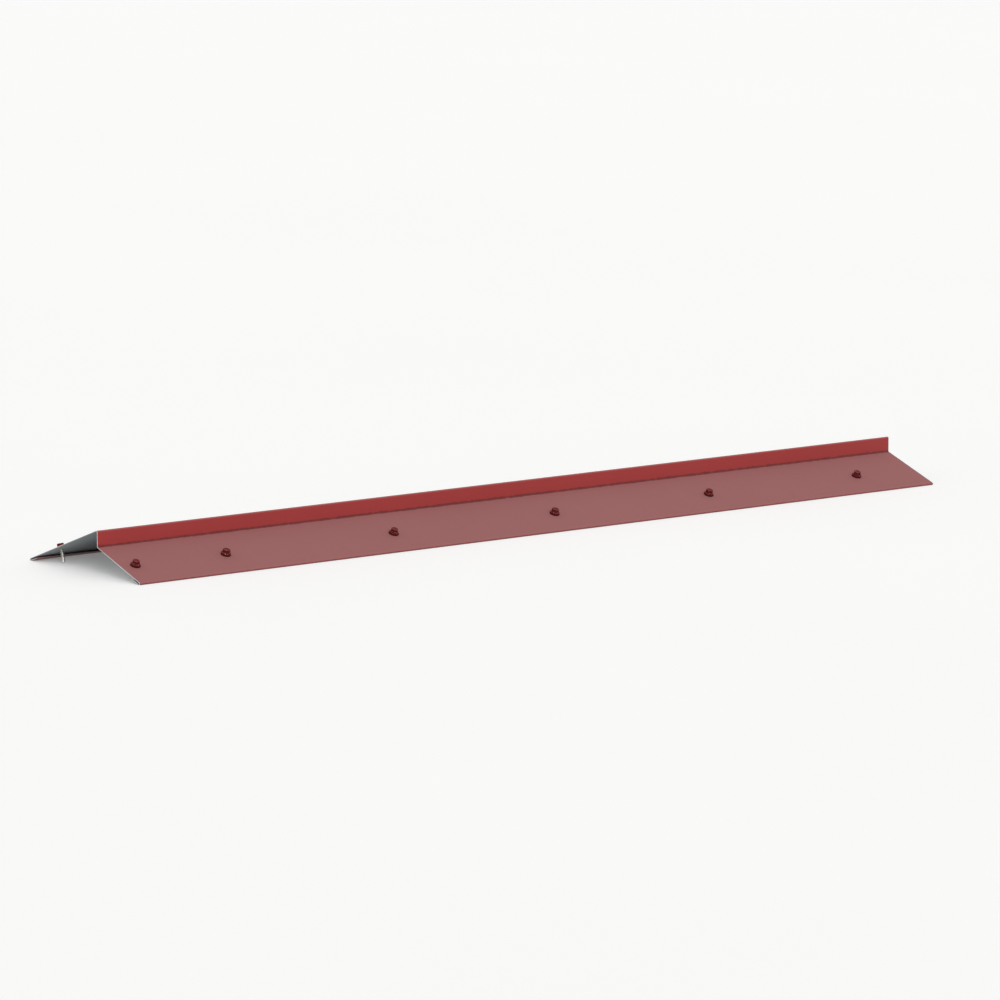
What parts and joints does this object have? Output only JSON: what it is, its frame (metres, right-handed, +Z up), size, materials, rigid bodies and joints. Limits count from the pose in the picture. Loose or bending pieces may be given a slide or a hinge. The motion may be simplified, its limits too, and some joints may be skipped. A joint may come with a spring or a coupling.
{
  "type": "roof ridge cap",
  "caption": "Folded steel ridge cap with hemmed legs on both slopes, an upright step at the ridge, and its self-drilling screws with sealing washers.",
  "frame": {"origin": "on the floor, below the middle of the cap's outline", "axes": "+X along the ridge, to the right in the picture; -Y the front slope, with the upright step; +Z up"},
  "size_m": [1.25, 0.2272, 0.0533],
  "materials": {
    "cap_coating": "semi-gloss polyester coil coating on galvanised steel",
    "screw_paint": "satin powder coating on the head, zinc plating on the shank",
    "washer_paint": "satin paint on galvanised steel",
    "seal_rubber": "matte black EPDM"
  },
  "bodies": {
    "root": {"ridge_cap": "cap_coating", "front_screw_1": "screw_paint", "front_screw_2": "screw_paint", "front_screw_3": "screw_paint", "front_screw_4": "screw_paint", "front_screw_5": "screw_paint", "front_screw_6": "screw_paint", "rear_screw_1": "screw_paint", "rear_screw_2": "screw_paint", "rear_screw_3": "screw_paint", "rear_screw_4": "screw_paint", "rear_screw_5": "screw_paint", "rear_screw_6": "screw_paint", "front_washer_1": "washer_paint", "front_washer_2": "washer_paint", "front_washer_3": "washer_paint", "front_washer_4": "washer_paint", "front_washer_5": "washer_paint", "front_washer_6": "washer_paint", "rear_washer_1": "washer_paint", "rear_washer_2": "washer_paint", "rear_washer_3": "washer_paint", "rear_washer_4": "washer_paint", "rear_washer_5": "washer_paint", "rear_washer_6": "washer_paint", "front_seal_1": "seal_rubber", "front_seal_2": "seal_rubber", "front_seal_3": "seal_rubber", "front_seal_4": "seal_rubber", "front_seal_5": "seal_rubber", "front_seal_6": "seal_rubber", "rear_seal_1": "seal_rubber", "rear_seal_2": "seal_rubber", "rear_seal_3": "seal_rubber", "rear_seal_4": "seal_rubber", "rear_seal_5": "seal_rubber", "rear_seal_6": "seal_rubber"}
  },
  "joints": []
}
